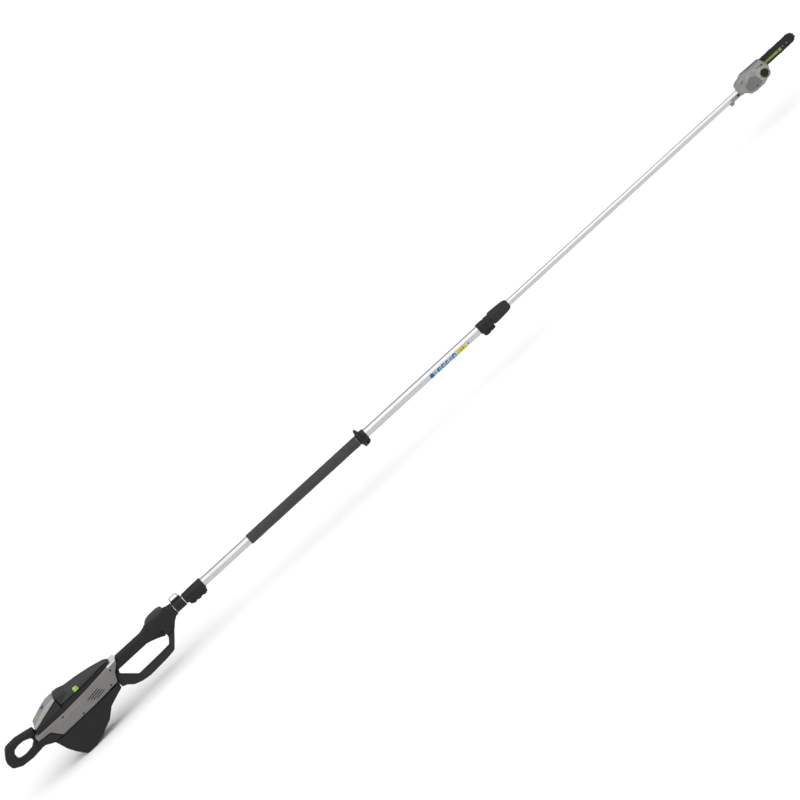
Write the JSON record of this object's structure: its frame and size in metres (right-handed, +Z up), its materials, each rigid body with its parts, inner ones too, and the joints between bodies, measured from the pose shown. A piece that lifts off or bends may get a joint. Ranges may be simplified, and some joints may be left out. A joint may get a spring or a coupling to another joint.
{
  "type": "telescoping pole saw",
  "caption": "Long telescoping pole saw with a battery and motor at the rear, a D-shaped handle, a foam fore-grip, a twist pole lock and a small chain-saw head.",
  "frame": {"origin": "middle of the overall length and width, on the plane that the foot stands on", "axes": "+X forward along the pole towards the saw, +Y to the user's left, +Z up; the pole's axis is parallel to X, 179 mm up"},
  "size_m": [3.9691, 0.1, 0.2497],
  "materials": {
    "black_plastic": "fine-grained moulded plastic",
    "charcoal_plastic": "fine-grained moulded plastic",
    "grey_plastic": "satin moulded plastic",
    "head_grey": "satin moulded plastic",
    "silver_plastic": "silver paint on plastic",
    "lime_plastic": "smooth moulded plastic",
    "aluminium": "clear anodised",
    "foam": "closed-cell foam",
    "steel": "ground",
    "black_steel": "black oxide",
    "copper_windings": "enamelled copper on laminated steel",
    "circuit_board": "lacquered board",
    "tank_plastic": "tinted moulded plastic"
  },
  "bodies": {
    "power_unit": {"housing_right": "grey_plastic", "housing_left": "grey_plastic", "battery_dock": "black_plastic", "terminal_block": "black_plastic", "top_cover": "charcoal_plastic", "rear_loop": "black_plastic", "ground_foot": "black_plastic", "grip_right": "black_plastic", "grip_left": "black_plastic", "hand_guard": "black_plastic", "trigger_switch": "black_steel", "controller_board": "circuit_board", "motor_stator": "copper_windings", "rear_bearing": "steel", "front_bearing": "steel", "motor_bracket": "aluminium", "bearing_plate": "aluminium", "outer_tube": "aluminium", "harness_bracket": "black_plastic", "harness_loop": "steel", "front_socket": "black_plastic", "socket_bolt": "black_steel", "foam_grip": "foam", "hand_stop": "black_plastic", "lock_collar": "black_plastic", "lock_collar_bolt": "black_steel", "lock_collet": "black_plastic"},
    "battery_pack": {"battery_case": "black_plastic", "battery_lid": "silver_plastic"},
    "battery_button": {"release_button": "lime_plastic"},
    "trigger_blade": {"trigger": "black_plastic"},
    "thumb_lever": {"lock_off_lever": "charcoal_plastic"},
    "drive_line": {"motor_rotor": "steel", "cooling_fan": "black_plastic", "drive_tube": "steel", "drive_tube_bush": "black_plastic"},
    "twist_nut": {"lock_nut": "black_plastic"},
    "saw_pole": {"inner_tube": "aluminium", "guide_bush": "black_plastic", "gear_case": "head_grey", "clamp_bolt": "black_steel", "head_cover": "head_grey", "bar_cover": "head_grey", "guide_bar": "steel", "saw_chain": "steel", "bar_stud": "steel", "bar_nut": "steel", "tension_screw": "black_steel", "oil_tank": "tank_plastic", "oil_pump": "black_steel"},
    "inner_drive": {"inner_shaft": "steel", "bevel_pinion": "steel"},
    "layshaft": {"countershaft": "steel", "bevel_gear": "steel", "spur_pinion": "steel"},
    "spindle": {"sprocket_spindle": "steel", "spur_gear": "steel", "drive_sprocket": "steel"},
    "nose_wheel": {"nose_sprocket": "steel"},
    "tank_cap": {"oil_cap": "black_plastic"}
  },
  "joints": [
    {"name": "pole_slide", "type": "slide", "parent": "power_unit", "child": "saw_pole", "axis": [1, 0, 0], "range_m": [-1.08, 0]},
    {"name": "battery_lift", "type": "slide", "parent": "power_unit", "child": "battery_pack", "axis": [0, 0, 1], "range_m": [0, 0.15]},
    {"name": "button_press", "type": "slide", "parent": "power_unit", "child": "battery_button", "axis": [0, 1, 0], "range_m": [0, 0.003], "stiffness_N_per_m": 800, "springref_m": -0.003},
    {"name": "trigger_pull", "type": "hinge", "parent": "power_unit", "child": "trigger_blade", "pos_m": [-1.2401, 0, 0.16], "axis": [0, 1, 0], "range_deg": [0, 6], "stiffness_Nm_per_rad": 2, "springref_deg": -8.59},
    {"name": "lever_press", "type": "hinge", "parent": "power_unit", "child": "thumb_lever", "pos_m": [-1.1811, 0, 0.203], "axis": [0, -1, 0], "range_deg": [0, 5], "stiffness_Nm_per_rad": 2, "springref_deg": -8.59},
    {"name": "nut_turn", "type": "hinge", "parent": "power_unit", "child": "twist_nut", "pos_m": [0.4829, 0, 0.179], "axis": [1, 0, 0], "range_deg": [0, 150]},
    {"name": "drive_spin", "type": "hinge", "parent": "power_unit", "child": "drive_line", "pos_m": [-1.6151, 0, 0.179], "axis": [1, 0, 0], "continuous": true},
    {"name": "inner_drive_spin", "type": "hinge", "parent": "saw_pole", "child": "inner_drive", "pos_m": [1.7029, 0, 0.179], "axis": [1, 0, 0], "continuous": true},
    {"name": "layshaft_spin", "type": "hinge", "parent": "saw_pole", "child": "layshaft", "pos_m": [1.7429, 0, 0.179], "axis": [0, 1, 0], "continuous": true},
    {"name": "spindle_spin", "type": "hinge", "parent": "saw_pole", "child": "spindle", "pos_m": [1.7549, 0, 0.1967], "axis": [0, 1, 0], "continuous": true},
    {"name": "nose_spin", "type": "hinge", "parent": "saw_pole", "child": "nose_wheel", "pos_m": [1.9644, 0.014, 0.1967], "axis": [0, 1, 0], "continuous": true},
    {"name": "cap_turn", "type": "hinge", "parent": "saw_pole", "child": "tank_cap", "pos_m": [1.8059, -0.031, 0.176], "axis": [0, -1, 0], "range_deg": [0, 540]}
  ],
  "couplings": [
    {"joint": "inner_drive_spin", "follows": "drive_spin", "ratio": 1},
    {"joint": "layshaft_spin", "follows": "drive_spin", "ratio": -0.5},
    {"joint": "spindle_spin", "follows": "drive_spin", "ratio": 0.275},
    {"joint": "nose_spin", "follows": "drive_spin", "ratio": 0.21389}
  ]
}
